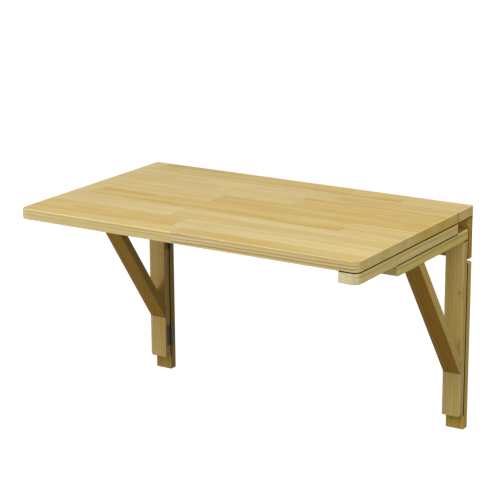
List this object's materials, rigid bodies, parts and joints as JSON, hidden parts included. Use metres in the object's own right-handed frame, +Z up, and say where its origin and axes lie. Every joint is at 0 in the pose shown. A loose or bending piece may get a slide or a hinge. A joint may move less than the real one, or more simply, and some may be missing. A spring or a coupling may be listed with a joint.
{
  "type": "wall mounted drop leaf table",
  "caption": "Wall mounted drop leaf table in clear pine: fixed shelf strip on a wall rail, hinged leaf, and triangular brackets that swing in under the leaf on butt hinges.",
  "frame": {"origin": "middle of the wall rail's rear face, on the wall", "axes": "+X to the right along the wall as seen from the room, +Z up, the room on the -Y side and the wall on the +Y side"},
  "size_m": [0.8, 0.5, 0.494],
  "materials": {
    "top_pine": "clear satin lacquer on edge-glued pine staves, grain along the table",
    "frame_pine": "clear matt lacquer on solid pine, grain along each piece",
    "black_steel": "satin black",
    "pin_steel": "satin black, rubbed at the ends"
  },
  "bodies": {
    "wall_frame": {"wall_rail": "frame_pine", "shelf_strip": "top_pine", "left_wall_upright": "frame_pine", "left_upper_hinge_wall_plate": "black_steel", "left_upper_hinge_pin": "pin_steel", "left_lower_hinge_wall_plate": "black_steel", "left_lower_hinge_pin": "pin_steel", "left_leaf_hinge_shelf_plate": "black_steel", "left_leaf_hinge_pin": "pin_steel", "right_wall_upright": "frame_pine", "right_upper_hinge_wall_plate": "black_steel", "right_upper_hinge_pin": "pin_steel", "right_lower_hinge_wall_plate": "black_steel", "right_lower_hinge_pin": "pin_steel", "right_leaf_hinge_shelf_plate": "black_steel", "right_leaf_hinge_pin": "pin_steel"},
    "drop_leaf": {"leaf_panel": "top_pine", "left_batten": "frame_pine", "right_batten": "frame_pine", "left_leaf_hinge_leaf_plate": "black_steel", "right_leaf_hinge_leaf_plate": "black_steel"},
    "left_bracket": {"left_bracket_post": "frame_pine", "left_bracket_arm": "frame_pine", "left_bracket_brace": "frame_pine", "left_upper_hinge_post_plate": "black_steel", "left_lower_hinge_post_plate": "black_steel"},
    "right_bracket": {"right_bracket_post": "frame_pine", "right_bracket_arm": "frame_pine", "right_bracket_brace": "frame_pine", "right_upper_hinge_post_plate": "black_steel", "right_lower_hinge_post_plate": "black_steel"}
  },
  "joints": [
    {"name": "leaf_hinge", "type": "hinge", "parent": "wall_frame", "child": "drop_leaf", "pos_m": [0, -0.07075, 0.04225], "axis": [-1, 0, 0], "range_deg": [0, 3]},
    {"name": "left_bracket_swing", "type": "hinge", "parent": "wall_frame", "child": "left_bracket", "pos_m": [-0.35525, -0.0195, -0.2], "axis": [0, 0, 1], "range_deg": [0, 90]},
    {"name": "right_bracket_swing", "type": "hinge", "parent": "wall_frame", "child": "right_bracket", "pos_m": [0.35525, -0.0195, -0.2], "axis": [0, 0, -1], "range_deg": [0, 90]}
  ]
}
